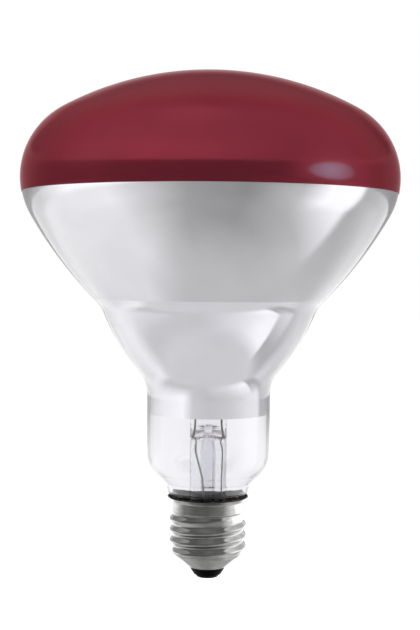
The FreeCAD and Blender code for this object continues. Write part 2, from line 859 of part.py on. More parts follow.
def bent_wire(points, radius, bend):
    """Round wire along straight runs that are joined by bends of one radius."""
    points = [FreeCAD.Vector(*point) for point in points]
    edges = []
    start = points[0]
    for before, corner, after in zip(points, points[1:], points[2:]):
        back = (before - corner).normalize()
        ahead = (after - corner).normalize()
        half_turn = (math.pi - back.getAngle(ahead)) / 2
        reach = bend * math.tan(half_turn)
        first, last = corner + back * reach, corner + ahead * reach
        toward = (back + ahead).normalize()
        middle = corner + toward * (bend / math.cos(half_turn) - bend)
        edges.append(Part.LineSegment(start, first).toShape())
        edges.append(Part.Arc(first, middle, last).toShape())
        start = last
    edges.append(Part.LineSegment(start, points[-1]).toShape())
    path = Part.Wire(edges)
    section = Part.Wire(Part.Circle(points[0], points[1] - points[0], radius).toShape())
    wire = path.makePipeShell([section], True, False)
    expected = math.pi * radius ** 2 * path.Length
    if abs(wire.Volume - expected) > VOLUME_TOLERANCE * expected:
        raise RuntimeError("a bent wire's volume differs from its section times its length")
    return wire


def make_lead(document, label, points, size, bend, filament):
    """A bent lead whose tip is cut to a saddle that fits round the filament's coil."""
    wire = document.addObject("Part::Feature", f"{label}_wire")
    wire.Shape = bent_wire(points, size.lead_radius.value, bend)
    lead = document.addObject("Part::Cut", label)
    lead.Label = label
    lead.Base = wire
    lead.Tool = filament
    return lead


def make_centre_lead(document, size, at, filament):
    """Lead from the left of the press, past the front of the exhaust tube, to the contact."""
    x, y = -size.lead_aside.value, -size.lead_ahead.value
    points = [
        (0, 0, centre_lead_end(size).value),
        (0, 0, size.insulator_height.value + size.lead_bend.value),
        (x, y, at.tail_end.value),
        (x, y, at.tail_end.value + size.stem_length.value / 2),
        (-size.lead_spread.value, 0, at.stem_cavity.value - size.lead_bend.value),
    ]
    points += lead_top(size, at, -1)
    return make_lead(document, "centre_lead", points, size, size.lead_bend.value, filament)


def side_lead_route(size, at):
    """Points from the rim at the back, down beside the tail and up into the stem's mouth."""
    tail_gap = size.root_radius - size.shell_sheet - size.tail_radius
    beside = size.tail_radius.value + tail_gap.value / 2
    over = at.rim.value + size.lead_radius.value + size.clearance.value
    bend_height = at.tail_top.value
    past_rim = size.skirt_radius.value + size.flare.value + size.lead_radius.value
    below = at.stem_end.value - size.lead_bend.value
    mouth = (size.tail_radius - size.glass_wall - size.stem_wall).value
    return [
        (0, past_rim, over),
        (0, beside + over - bend_height, over),
        (0, beside, bend_height),
        (0, beside, below),
        (size.lead_spread.value * MOUTH_SHARE, mouth * MOUTH_SHARE, below),
        (size.lead_spread.value, 0, at.tail_end.value + size.stem_flare_height.value / 2),
    ]


def make_side_lead(document, size, at, filament):
    """Lead from the right of the press to the solder spot on the rim."""
    points = side_lead_route(size, at) + lead_top(size, at, 1)
    return make_lead(document, "side_lead", points, size, size.side_lead_bend.value, filament)


def make_side_solder(document, size, at, shell, lead):
    """Solder spot that wets the rim and holds the end of the side lead."""
    ball = document.addObject("Part::Sphere", "solder_ball")
    ball.Radius = size.side_solder_radius.value
    ball.setExpression("Radius", size.side_solder_radius.text)
    reach = size.skirt_radius + size.flare + size.lead_radius
    ball.setExpression("Placement.Base.y", reach.text)
    ball.setExpression("Placement.Base.z", at.rim.text)
    off_shell = document.addObject("Part::Cut", "solder_off_shell")
    off_shell.Base = ball
    off_shell.Tool = shell
    spot = document.addObject("Part::Cut", "side_solder")
    spot.Label = "side_solder"
    spot.Base = off_shell
    spot.Tool = lead
    return spot


# Filament and its hooks


def make_filament(document, size, at):
    """Coiled tungsten arc at the focus, drawn as a rod of the coil's own diameter."""
    arc = document.addObject("Part::Torus", "filament")
    arc.Label = "filament"
    turned = FreeCAD.Rotation(FreeCAD.Vector(0, 0, 1), -90.0 + size.filament_gap_angle.value / 2)
    arc.Placement = FreeCAD.Placement(FreeCAD.Vector(0, 0, at.filament.value), turned)
    arc.setExpression("Radius1", size.filament_radius.text)
    arc.setExpression("Radius2", size.filament_coil_radius.text)
    arc.setExpression("Angle3", f"360 - {size.filament_gap_angle.text}")
    arc.setExpression("Placement.Base.z", at.filament.text)
    return arc


def make_support(document, size, at, number):
    """Hook of wire from its socket in the bead, out and up, and round the filament."""
    label = f"support_{number + 1}"
    body = new_body(document, label)
    socket = size.bead_radius - size.support_depth
    elbow = size.bead_radius + size.support_reach
    grip = size.filament_coil_radius + size.support_wire_radius + size.support_clearance
    path = Drawing(body, f"{label}_path")
    corner = FreeCAD.Vector(elbow.value, at.bead_middle.value, 0)
    coil = FreeCAD.Vector(size.filament_radius.value, at.filament.value, 0)
    way = coil - corner
    heading = math.atan2(way.y, way.x) - math.asin(grip.value / way.Length)
    run = math.sqrt(way.Length ** 2 - grip.value ** 2)
    ahead = FreeCAD.Vector(math.cos(heading), math.sin(heading), 0)
    touch = corner + ahead * run
    reach = size.support_bend.value * math.tan(heading / 2)
    start = FreeCAD.Vector(socket.value, corner.y, 0)
    bend_start = corner - FreeCAD.Vector(reach, 0, 0)
    bend_end = corner + ahead * reach
    flat = path.line(start, bend_start)
    bend_centre = bend_start + FreeCAD.Vector(0, size.support_bend.value, 0)
    bend, bend_first, bend_last = path.arc(bend_centre, size.support_bend.value, bend_start, bend_end)
    slope = path.line(bend_end, touch)
    hook_circle = Part.Circle(coil, FreeCAD.Vector(0, 0, 1), grip.value)
    hook = path.sketch.addGeometry(Part.ArcOfCircle(hook_circle, heading - math.pi / 2, math.pi))
    mark = path.sketch.addGeometry(Part.Point(corner), True)
    path.place(flat, START, socket, at.bead_middle)
    path.place(mark, START, elbow, at.bead_middle)
    path.tie("PointOnObject", mark, START, flat)
    path.tie("PointOnObject", mark, START, slope)
    path.tie("Tangent", flat, END, bend, bend_first)
    path.tie("Tangent", slope, START, bend, bend_last)
    path.fix("Radius", bend, size=size.support_bend)
    path.place(hook, CENTRE, size.filament_radius, at.filament)
    path.fix("Radius", hook, size=grip)
    path.tie("Tangent", slope, END, hook, START)
    path.fix("DistanceY", ORIGIN, START, hook, END, size=at.filament)
    section = Drawing(body, f"{label}_section", "YZ_Plane")
    section.lift(socket)
    section.circle(ZERO, at.bead_middle, size.support_wire_radius)
    document.recompute()
    edges = [f"Edge{index + 1}" for index in range(len(path.sketch.Shape.Edges))]
    add_feature(section, "AdditivePipe", f"{label}_wire", Spine=(path.sketch, edges))
    azimuth = number * SUPPORT_SPAN / (SUPPORT_COUNT - 1)
    body.Placement = FreeCAD.Placement(FreeCAD.Vector(), FreeCAD.Rotation(FreeCAD.Vector(0, 0, 1), azimuth))
    return body


def build():
    document = FreeCAD.newDocument("heat_lamp")
    size = make_sheet(document)
    at = work_out_heights(size)
    shell = make_screw_shell(document, size, at)
    filament = make_filament(document, size, at)
    side_lead = make_side_lead(document, size, at, filament)
    nodes = [
        shell,
        make_insulator(document, size, at),
        make_centre_contact(document, size, at),
        make_centre_solder(document, size),
        make_basing_cement(document, size, at),
        make_glass_envelope(document, size, at),
        make_ruby_coating(document, size, at),
        make_mirror_coating(document, size, at),
        make_stem(document, size, at),
        make_exhaust_tube(document, size, at),
        make_centre_lead(document, size, at, filament),
        side_lead,
        make_side_solder(document, size, at, shell, side_lead),
        filament,
    ]
    nodes += [make_support(document, size, at, number) for number in range(SUPPORT_COUNT)]
    document.recompute()
    return document, nodes


def check(document, nodes):
    """Stop if any object failed or any sub-part is not sound."""
    for item in document.Objects:
        if "Invalid" in item.State or "Error" in item.State:
            raise RuntimeError(f"{item.Label} failed: {item.State}")
    for node in nodes:
        if node.Shape.isNull() or not node.Shape.isValid() or not node.Shape.Solids:
            raise RuntimeError(f"{node.Label} is not sound")


def write(nodes):
    os.makedirs("parts", exist_ok=True)
    for node in nodes:
        node.Shape.exportStep(os.path.join("parts", f"{node.Label}.step"))
        print(f"{node.Label}: {node.Shape.Volume:.1f} mm3")


document, nodes = build()
check(document, nodes)
write(nodes)
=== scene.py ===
"""Infrared heat lamp bulb: the finished pieces, their materials and the studio round them."""

import math

import bmesh
import bpy
import numpy as np
from mathutils import Matrix, Vector


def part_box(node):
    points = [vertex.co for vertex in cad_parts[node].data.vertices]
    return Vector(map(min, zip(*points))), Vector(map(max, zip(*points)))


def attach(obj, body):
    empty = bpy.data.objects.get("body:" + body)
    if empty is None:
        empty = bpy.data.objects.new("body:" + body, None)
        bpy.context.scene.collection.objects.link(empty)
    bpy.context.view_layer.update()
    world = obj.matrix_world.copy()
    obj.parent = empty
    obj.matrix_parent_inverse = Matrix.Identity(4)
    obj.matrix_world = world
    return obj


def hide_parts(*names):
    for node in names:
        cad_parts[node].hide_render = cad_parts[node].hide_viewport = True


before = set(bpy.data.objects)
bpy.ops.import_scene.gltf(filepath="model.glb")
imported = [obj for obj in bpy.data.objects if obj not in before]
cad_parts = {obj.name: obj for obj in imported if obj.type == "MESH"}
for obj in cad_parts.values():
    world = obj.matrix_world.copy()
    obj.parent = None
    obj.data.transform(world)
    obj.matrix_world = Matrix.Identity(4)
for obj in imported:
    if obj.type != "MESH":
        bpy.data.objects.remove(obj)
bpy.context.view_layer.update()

# All sizes below are millimetres, in the frame of the solids. Lamps, camera and floor are placed in metres.
MM = 0.001
AROUND = 180

# Bulb: curve radii from the neck up, then where the coats end and how they lie on the glass.
TAIL_RADIUS, TAIL_END = 10.6, 16
NECK_RADIUS, NECK_FOOT, NECK_TOP = 20.8, 38.3, 61.6
FILLET, LOBE, WAIST, FLANK_CURVE, SHOULDER = 12.5, 72, 9, 136, 25.7
WAIST_AT = (44.2, 87)
EQUATOR_RADIUS, EQUATOR_HEIGHT = 63.3, 134.8
GLASS_TOP, GLASS_WALL = 170.3, 1.0
MIRROR_EDGE, RED_EDGE = 56.1, 130
FILM_INSIDE = 1.14
LACQUER_INSIDE, LACQUER_OUTSIDE = -0.05, -0.2

# Cap
FOOT_RADIUS, FOOT_END, FOOT_TOP = 6.5, 3.65, 8.2
CORE_RADIUS, CORE_TOP = 12.1, 22.1
SKIRT_RADIUS, RIM_RADIUS, RIM_TOP = 12.6, 13.8, 27.6
SHEET = 0.3
PITCH, THREAD_RISE, FIRST_CREST, TURNS = 3.62, 0.95, 9.0, 3.4

# Inside
PRESS_FOOT, PRESS_TOP = 43.0, 53.5
PRESS_HALF, PRESS_BORE_HALF = 2.2, 1.2
GAS_HOLE = (0, -3.6, 50.3)
COIL_AT, COIL_ARC, COIL_RADIUS, COIL_WIRE, COIL_TURNS = 93, 11, 0.75, 0.14, 150


def linear(code):
    """An sRGB hex colour as linear red, green, blue and alpha."""
    steps = [int(code[i:i + 2], 16) / 255 for i in (1, 3, 5)]
    return [s / 12.92 if s <= 0.04045 else ((s + 0.055) / 1.055) ** 2.4 for s in steps] + [1.0]


# Meshes

def ring(radius, height, count=AROUND):
    """One level circle of points, or a single point on the axis."""
    if radius < 1e-6:
        return np.array([[0.0, 0.0, height]])
    turn = np.linspace(0, 2 * math.pi, count, endpoint=False)
    return np.column_stack([radius * np.cos(turn), radius * np.sin(turn), np.full(count, height)])


def skin_faces(first, second):
    """Faces between two neighbouring rings of point numbers."""
    count = max(len(first), len(second))
    faces = []
    for i in range(count):
        j = (i + 1) % count
        corners = [first[i % len(first)], first[j % len(first)], second[j % len(second)], second[i % len(second)]]
        faces.append(list(dict.fromkeys(corners)))
    return faces


def loft(name, rings, loop=False):
    """A mesh skinned over rings of points, as a loop of rings or closed by points at its ends."""
    numbers = []
    start = 0
    for points in rings:
        numbers.append(range(start, start + len(points)))
        start += len(points)
    faces = []
    for first, second in zip(numbers, numbers[1:] + (numbers[:1] if loop else [])):
        if len(first) > 1 or len(second) > 1:
            faces += skin_faces(first, second)
    return piece_of(name, np.vstack(rings), faces)


def piece_of(name, points, faces, sharp=32):
    """A smooth-shaded piece of the lamp from points in millimetres."""
    mesh = bpy.data.meshes.new(name)
    mesh.from_pydata((points * MM).tolist(), [], faces)
    work = bmesh.new()
    work.from_mesh(mesh)
    bmesh.ops.recalc_face_normals(work, faces=work.faces[:])
    work.to_mesh(mesh)
    work.free()
    mesh.shade_smooth()
    mesh.set_sharp_from_angle(angle=math.radians(sharp))
    piece = bpy.data.objects.new(name, mesh)
    bpy.context.collection.objects.link(piece)
    return piece


def lathe(name, outline, loop=True, count=AROUND):
    """A piece turned about the lamp's axis from an outline of radius and height."""
    return loft(name, [ring(r, z, count) for r, z in outline], loop)


def drill(piece, middle, radius, length):
    """Cuts a round hole through a piece, along the line from front to back."""
    mesh = bpy.data.meshes.new("drill")
    work = bmesh.new()
    place = Matrix.Translation(Vector(middle) * MM) @ Matrix.Rotation(math.pi / 2, 4, "X")
    bmesh.ops.create_cone(work, cap_ends=True, segments=40, radius1=radius * MM, radius2=radius * MM,
                          depth=length * MM, matrix=place)
    work.to_mesh(mesh)
    work.free()
    tool = bpy.data.objects.new("drill", mesh)
    bpy.context.collection.objects.link(tool)
    cut = piece.modifiers.new("hole", "BOOLEAN")
    cut.object = tool
    cut.operation = "DIFFERENCE"
    bpy.context.view_layer.objects.active = piece
    bpy.ops.object.modifier_apply(modifier=cut.name)
    bpy.data.objects.remove(tool)
    bpy.data.meshes.remove(mesh)


def fit(piece, material, slot, *nodes):
    """Gives a piece its material, and puts it in place of the solids that it stands for."""
    piece.data.materials.clear()
    piece.data.materials.append(material)
    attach(piece, "root")
    if nodes:
        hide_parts(*nodes)


def inner_finish(piece, material):
    """Gives the faces that look towards the lamp's axis a second material."""
    piece.data.materials.append(material)
    for face in piece.data.polygons:
        face.material_index = int(face.normal.xy.dot(face.center.xy) < 0)


# Outlines

def sweep(centre, radius, start, stop, step=1.0):
    """Points along an arc between two angles in radians."""
    count = max(3, int(abs(stop - start) * radius / step) + 1)
    turn = np.linspace(start, stop, count)
    return [(centre[0] + radius * math.cos(a), centre[1] + radius * math.sin(a)) for a in turn]


def rounded(corners, step=0.3):
    """An outline of corners (radius, height, rounding), each corner rounded by an arc."""
    points = []
    for i, (r, z, rounding) in enumerate(corners):
        here = np.array([r, z])
        if rounding == 0 or i in (0, len(corners) - 1):
            points.append((r, z))
            continue
        back = np.array(corners[i - 1][:2]) - here
        on = np.array(corners[i + 1][:2]) - here
        back /= np.linalg.norm(back)
        on /= np.linalg.norm(on)
        half = math.acos(np.clip(np.dot(back, on), -1, 1)) / 2
        if half > 1.56:
            points.append((r, z))
            continue
        middle = here + (back + on) / np.linalg.norm(back + on) * rounding / math.sin(half)
        ends = [here + way * rounding / math.tan(half) - middle for way in (back, on)]
        start, stop = (math.atan2(e[1], e[0]) for e in ends)
        stop = start + (stop - start + math.pi) % (2 * math.pi) - math.pi
        points += sweep(middle, rounding, start, stop, step)
    return points


def meet(first, first_radius, second, second_radius):
    """Where two circles cross, on the left of the line from the first centre to the second."""
    first, second = np.array(first), np.array(second)
    span = np.linalg.norm(second - first)
    along = (second - first) / span
    reach = (first_radius ** 2 - second_radius ** 2 + span ** 2) / (2 * span)
    rise = math.sqrt(first_radius ** 2 - reach ** 2)
    return first + along * reach + rise * np.array([-along[1], along[0]])


def bearing(centre, point):
    return math.atan2(point[1] - centre[1], point[0] - centre[0])


def bulb_outline():
    """The outside of the glass from the lip of its tail to the middle of its front."""
    neck = rounded([(TAIL_RADIUS, TAIL_END, 0), (TAIL_RADIUS, 26, 0.5), (13.8, 29.2, 1.2), (14.5, 32, 2.5),
                    (NECK_RADIUS, NECK_FOOT, 10), (NECK_RADIUS, NECK_TOP, 0)])
    fillet_at = (NECK_RADIUS + FILLET, NECK_TOP)
    shoulder_at = (EQUATOR_RADIUS - SHOULDER, EQUATOR_HEIGHT)
    lobe_at = meet(fillet_at, FILLET + LOBE, WAIST_AT, WAIST + LOBE)
    flank_at = meet(WAIST_AT, WAIST + FLANK_CURVE, shoulder_at, FLANK_CURVE - SHOULDER)
    rise = GLASS_TOP - EQUATOR_HEIGHT
    dome = (shoulder_at[0] ** 2 + rise ** 2 - SHOULDER ** 2) / (2 * (rise - SHOULDER))
    dome_at = (0, GLASS_TOP - dome)
    points = neck[:-1]
    points += sweep(fillet_at, FILLET, math.pi, bearing(fillet_at, lobe_at), 0.4)
    points += sweep(lobe_at, LOBE, bearing(lobe_at, fillet_at), bearing(lobe_at, WAIST_AT), 0.7)[1:]
    points += sweep(WAIST_AT, WAIST, bearing(WAIST_AT, lobe_at) % (2 * math.pi), bearing(WAIST_AT, flank_at), 0.2)[1:]
    points += sweep(flank_at, FLANK_CURVE, bearing(flank_at, WAIST_AT), bearing(flank_at, shoulder_at), 0.8)[1:]
    points += sweep(shoulder_at, SHOULDER, bearing(flank_at, shoulder_at), bearing(dome_at, shoulder_at), 0.7)[1:]
    points += sweep(dome_at, dome, bearing(dome_at, shoulder_at), math.pi / 2, 1.2)[1:]
    points[-1] = (0.0, GLASS_TOP)
    return np.array(points)


def moved_in(outline, depth):
    """An outline moved along its normals, towards the axis for a positive depth."""
    runs = np.diff(outline, axis=0)
    runs /= np.linalg.norm(runs, axis=1)[:, None]
    way = np.vstack([runs[:1], runs[:-1] + runs[1:], runs[-1:]])
    way /= np.linalg.norm(way, axis=1)[:, None]
    moved = outline + np.reshape(depth, (-1, 1)) * np.column_stack([-way[:, 1], way[:, 0]])
    if outline[-1][0] < 1e-6:
        moved[-1] = (0.0, outline[-1][1] - depth)
    return moved


def between(outline, low, high):
    """The stretch of an outline between two heights."""
    heights = outline[:, 1]
    inside = outline[(heights > low) & (heights < high)]
    ends = [(np.interp(h, heights, outline[:, 0]), h) for h in (low, high)]
    head = [ends[0]] if heights[0] < low else []
    tail = [ends[1]] if heights[-1] > high else []
    return np.array(head + inside.tolist() + tail)


def smooth(low, high, value):
    """A soft step from 0 to 1 between two values."""
    share = np.clip((value - low) / (high - low), 0, 1)
    return share * share * (3 - 2 * share)


def wall(outside, inside):
    """The closed outline of a wall from its outside and its inside."""
    return outside.tolist() + inside[::-1].tolist()


# Materials

def add(tree, kind, sockets=None, **settings):
    """Adds a shader node with its settings, and its sockets as numbers or as links."""
    node = tree.nodes.new("ShaderNode" + kind)
    for key, value in settings.items():
        setattr(node, key, value)
    for key, value in (sockets or {}).items():
        if isinstance(value, bpy.types.NodeSocket):
            tree.links.new(value, node.inputs[key])
        else:
            node.inputs[key].default_value = value
    return node


def finish(name, **sockets):
    """A new material, its node tree and its surface shader with plain values set."""
    material = bpy.data.materials.new(name)
    material.use_nodes = True
    shader = material.node_tree.nodes["Principled BSDF"]
    for key, value in sockets.items():
        shader.inputs[key.replace("_", " ")].default_value = value
    return material, material.node_tree, shader


def clear_glass(name, roughness, tint):
    """Soda-lime glass: blown, clear and glossy with faint long waves, or dulled where it was drawn or pinched."""
    material, tree, shader = finish(name, Base_Color=linear(tint), IOR=1.52,
                                    Transmission_Weight=1.0, Roughness=roughness)
    place = add(tree, "TexCoord")
    spread = add(tree, "Mapping", {"Vector": place.outputs["Object"],
                                   "Scale": (1 / 9e-3, 1 / 9e-3, 1 / 30e-3)})
    waves = add(tree, "TexNoise", {"Vector": spread.outputs[0], "Scale": 1.0, "Detail": 1.0})
    bump = add(tree, "Bump", {"Height": waves.outputs[0], "Distance": 0.05 * MM, "Strength": 0.6})
    tree.links.new(bump.outputs[0], shader.inputs["Normal"])
    return material


def red_lacquer():
    """Ruby heat-proof lacquer, dipped and baked on glass: a deep red body with a smooth gloss that is red too."""
    material, tree, shader = finish("dipped_ruby_lacquer", Metallic=0.5, IOR=1.5, Specular_IOR_Level=0.12,
                                    Specular_Tint=linear("#ff003f"), Coat_Weight=0.03, Coat_Roughness=0.3)
    place = add(tree, "TexCoord")
    pooling = add(tree, "TexNoise", {"Vector": place.outputs["Object"], "Scale": 1 / 28e-3, "Detail": 2.0})
    body = add(tree, "ValToRGB", {"Fac": pooling.outputs[0]})
    body.color_ramp.elements[0].position, body.color_ramp.elements[1].position = 0.3, 0.7
    body.color_ramp.elements[0].color, body.color_ramp.elements[1].color = linear("#65222d"), linear("#6c242f")
    peel = add(tree, "TexNoise", {"Vector": place.outputs["Object"], "Scale": 1 / 6e-3, "Detail": 1.0})
    gloss = add(tree, "MapRange", {"Value": peel.outputs[0], "To Min": 0.09, "To Max": 0.15})
    bump = add(tree, "Bump", {"Height": peel.outputs[0], "Distance": 0.01 * MM, "Strength": 0.4})
    tree.links.new(body.outputs[0], shader.inputs["Base Color"])
    tree.links.new(gloss.outputs[0], shader.inputs["Roughness"])
    tree.links.new(bump.outputs[0], shader.inputs["Normal"])
    return material


def aluminium_film(name, low, high):
    """Aluminium film laid in vacuum on the glass: a mirror on the flank, milkier low on the neck."""
    material, tree, shader = finish(name)
    place = add(tree, "TexCoord")
    height = add(tree, "SeparateXYZ", {"Vector": place.outputs["Object"]})
    cloud = add(tree, "TexNoise", {"Vector": place.outputs["Object"], "Scale": 1 / 14e-3, "Detail": 3.0})
    metal = add(tree, "MapRange", {"Value": height.outputs["Z"], "From Min": 0.074, "From Max": 0.098,
                                   "To Min": low, "To Max": high})
    haze = add(tree, "MapRange", {"Value": cloud.outputs[0], "From Min": 0.3, "From Max": 0.7,
                                  "To Min": 0.05, "To Max": 0.1})
    tone = add(tree, "ValToRGB", {"Fac": cloud.outputs[0]})
    tone.color_ramp.elements[0].position, tone.color_ramp.elements[1].position = 0.3, 0.7
    tone.color_ramp.elements[0].color, tone.color_ramp.elements[1].color = linear("#efeef1"), linear("#f5f4f6")
    tree.links.new(tone.outputs[0], shader.inputs["Base Color"])
    tree.links.new(metal.outputs[0], shader.inputs["Metallic"])
    tree.links.new(haze.outputs[0], shader.inputs["Roughness"])
    return material


def drawn_metal(name, tint, shade, roughness, line):
    """Drawn and rolled sheet or wire: bright metal with fine marks drawn round it and duller hollows."""
    material, tree, shader = finish(name, Metallic=1.0)
    place = add(tree, "TexCoord")
    spread = add(tree, "Mapping", {"Vector": place.outputs["Object"],
                                   "Scale": (0.06 / line, 0.06 / line, 1 / line)})
    marks = add(tree, "TexNoise", {"Vector": spread.outputs[0], "Scale": 1.0, "Detail": 3.0})
    smudge = add(tree, "TexNoise", {"Vector": place.outputs["Object"], "Scale": 1 / 5e-3, "Detail": 2.0})
    mixed = add(tree, "Math", {0: marks.outputs[0], 1: smudge.outputs[0]}, operation="MULTIPLY")
    tone = add(tree, "ValToRGB", {"Fac": mixed.outputs[0]})
    tone.color_ramp.elements[0].position, tone.color_ramp.elements[1].position = 0.12, 0.4
    tone.color_ramp.elements[0].color, tone.color_ramp.elements[1].color = linear(shade), linear(tint)
    gloss = add(tree, "MapRange", {"Value": marks.outputs[0], "From Min": 0.3, "From Max": 0.7,
                                   "To Min": roughness * 0.75, "To Max": roughness * 1.3})
    bump = add(tree, "Bump", {"Height": marks.outputs[0], "Distance": 0.005 * MM, "Strength": 0.5})
    tree.links.new(tone.outputs[0], shader.inputs["Base Color"])
    tree.links.new(gloss.outputs[0], shader.inputs["Roughness"])
    tree.links.new(bump.outputs[0], shader.inputs["Normal"])
    return material


def grained(name, light, dark, roughness, grain, depth, **sockets):
    """A cast or moulded solid: a mottled colour and a fine uneven skin."""
    material, tree, shader = finish(name, **sockets)
    place = add(tree, "TexCoord")
    speckle = add(tree, "TexNoise", {"Vector": place.outputs["Object"], "Scale": 1 / grain, "Detail": 4.0})
    tone = add(tree, "ValToRGB", {"Fac": speckle.outputs[0]})
    tone.color_ramp.elements[0].position, tone.color_ramp.elements[1].position = 0.35, 0.65
    tone.color_ramp.elements[0].color, tone.color_ramp.elements[1].color = linear(dark), linear(light)
    gloss = add(tree, "MapRange", {"Value": speckle.outputs[0], "From Min": 0.3, "From Max": 0.7,
                                   "To Min": roughness * 0.8, "To Max": min(1.0, roughness * 1.2)})
    bump = add(tree, "Bump", {"Height": speckle.outputs[0], "Distance": depth, "Strength": 0.6})
    tree.links.new(tone.outputs[0], shader.inputs["Base Color"])
    tree.links.new(gloss.outputs[0], shader.inputs["Roughness"])
    tree.links.new(bump.outputs[0], shader.inputs["Normal"])
    return material


# Bulb

def make_bulb():
    glass = clear_glass("blown_soda_lime_glass", 0.0, "#fafafc")
    outside = bulb_outline()
    inside = moved_in(outside, GLASS_WALL)
    fit(lathe("glass_bulb", wall(outside, inside)), glass, "clear_glass", "glass_envelope")

    # Up to the waist the film lies a hair off the glass, and above it the film is bonded to the glass.
    mirrored = between(outside, MIRROR_EDGE, RED_EDGE)
    depth = np.interp(mirrored[:, 1], [92.5, 96], [GLASS_WALL + 0.03, GLASS_WALL - 0.03])
    film = lathe("mirror_film", wall(moved_in(mirrored, depth), moved_in(mirrored, FILM_INSIDE)))
    fit(film, aluminium_film("vacuum_laid_aluminium_film", 0.85, 0.95), "aluminium_film", "mirror_coating")
    inner_finish(film, aluminium_film("inner_face_of_aluminium_film", 0.1, 0.1))

    front = between(outside, RED_EDGE, GLASS_TOP + 1)
    skin = wall(moved_in(front, LACQUER_OUTSIDE), moved_in(front, LACQUER_INSIDE))
    fit(lathe("ruby_front", skin), red_lacquer(), "red_lacquer", "ruby_coating")
    return glass


# Cap

def thread_height(turn, height):
    """How far the rolled thread stands out, for a turn in radians counted from the left side."""
    wound = turn / (2 * math.pi)
    crest = np.round((height - FIRST_CREST) / PITCH - wound)
    along = crest + wound
    off = height - FIRST_CREST - PITCH * along
    shape = 0.5 + 0.5 * np.cos(2 * math.pi * off / PITCH)
    return THREAD_RISE * shape * smooth(-0.05, 0.2, along) * (1 - smooth(TURNS - 0.4, TURNS, along))


def shell_rings(outline, inset):
    """Rings of the cap's sheet, with the thread rolled into its straight part."""
    turn = np.linspace(0, 2 * math.pi, 216, endpoint=False)
    rings = []
    for r, z in outline:
        radius = r + thread_height(turn, z) - inset
        rings.append(np.column_stack([-radius * np.cos(turn), -radius * np.sin(turn), np.full(len(turn), z)]))
    return rings


def make_cap():
    metal = drawn_metal("rolled_nickelled_cap_sheet", "#c6c6c4", "#a4a4a2", 0.12, 0.25e-3)
    straight = [(CORE_RADIUS, z) for z in np.arange(FOOT_TOP + 0.4, CORE_TOP, 0.11)]
    bend = rounded([(FOOT_RADIUS, FOOT_END, 0), (CORE_RADIUS, FOOT_TOP, 2.0), (CORE_RADIUS, FOOT_TOP + 0.7, 0)], 0.25)
    slope = np.array([CORE_RADIUS - FOOT_RADIUS, FOOT_TOP - FOOT_END])
    foot = bend[1:-1] + [tuple(slope * t + (FOOT_RADIUS, FOOT_END)) for t in np.linspace(0, 0.7, 12)]
    skirt = rounded([(CORE_RADIUS, CORE_TOP, 0), (CORE_RADIUS, CORE_TOP + 0.2, 0.3), (SKIRT_RADIUS, 22.8, 0.4),
                     (SKIRT_RADIUS, 26.4, 0.8), (RIM_RADIUS, RIM_TOP, 0)], 0.15)
    outline = sorted({(round(r, 4), round(z, 4)) for r, z in foot + straight + skirt}, key=lambda p: p[1])
    rings = shell_rings(outline, 0.0) + shell_rings(outline[::-1], SHEET)
    fit(loft("threaded_cap", rings, loop=True), metal, "cap_metal", "screw_shell")

    black = grained("moulded_black_glass", "#030303", "#020202", 0.35, 0.9e-3, 0.02 * MM,
                    IOR=1.6, Specular_IOR_Level=0.02)
    cone = rounded([(1.72, 0.9, 0), (4.6, 0.9, 0.4), (6.2, 3.4, 0.25), (9.5, 6.5, 0.4), (1.72, 6.5, 0)])
    fit(lathe("black_insulator", cone), black, "black_glass", "insulator")

    # Painted shade: the contact plate's brass is coloured dark brown for the shade at the foot of the cap.
    brass = drawn_metal("pressed_brass_painted_dark_as_shade", "#4a4036", "#241f1b", 0.4, 0.3e-3)
    plate = rounded([(1.2, 0.15, 0), (1.5, 0.0, 0.1), (3.5, 0.0, 0.35), (3.9, 0.4, 0.15), (3.9, 0.88, 0.1),
                     (1.7, 0.88, 0.1), (1.7, 4.1, 0), (1.2, 4.1, 0)], 0.1)
    fit(lathe("contact_plate", plate, count=96), brass, "contact_brass", "centre_contact")

    tin = grained("cast_tin_solder", "#c4c5c7", "#8c8d90", 0.3, 1.2e-3, 0.05 * MM, Metallic=1.0)
    bead = [(0.0, 0.02)] + [(1.18 * math.sin(a), 0.5 - 0.48 * math.cos(a)) for a in np.linspace(0.15, 1.57, 8)]
    bead += [(1.18, 2.3), (0.0, 2.35)]
    fit(lathe("contact_solder", bead, loop=False, count=48), tin, "solder", "centre_solder")
    return tin


def make_cement():
    """The cured cement between glass and cap, wetted on to the glass, with a ragged squeezed-out edge. Its outward
    faces are painted near black as the shade in the gap under the cap's rim, and its faces towards the axis keep the
    cement's lighter grey.
    """
    # Painted shade: the outward faces are near black for the shade in the gap under the cap's rim.
    cement = grained("cement_painted_dark_as_rim_shade", "#2b2725", "#141211", 0.85, 0.5e-3, 0.12 * MM)
    outline = rounded([(10.57, 22.95, 0), (12.27, 22.95, 0), (12.27, 26.5, 0.4), (13.3, 27.55, 0.2),
                       (13.45, 27.8, 0.15), (13.08, 28.53, 0.1), (10.57, 26.02, 0)], 0.15)
    rings = []
    for r, z in outline:
        points = ring(r, z, 240)
        turn = np.arctan2(points[:, 1], points[:, 0])
        ragged = 0.5 * np.sin(turn) - 0.15
        ragged += 0.12 * np.sin(5 * turn + 0.7) + 0.14 * np.sin(13 * turn + 2.1) + 0.12 * np.sin(31 * turn)
        share = smooth(27.9, 28.5, z)
        points[:, 2] += share * ragged
        points[:, :2] *= (1 + share * ragged / r)[:, None]
        rings.append(points)
    bead = loft("cement_ring", rings, loop=True)
    fit(bead, cement, "cement", "basing_cement")
    # The faces towards the axis keep the cement's own lighter grey; only the outward faces carry the painted shade.
    inner_finish(bead, grained("cement_grey_on_inward_faces", "#8a8886", "#4e4c4a", 0.7, 0.5e-3, 0.1 * MM))


# Inside

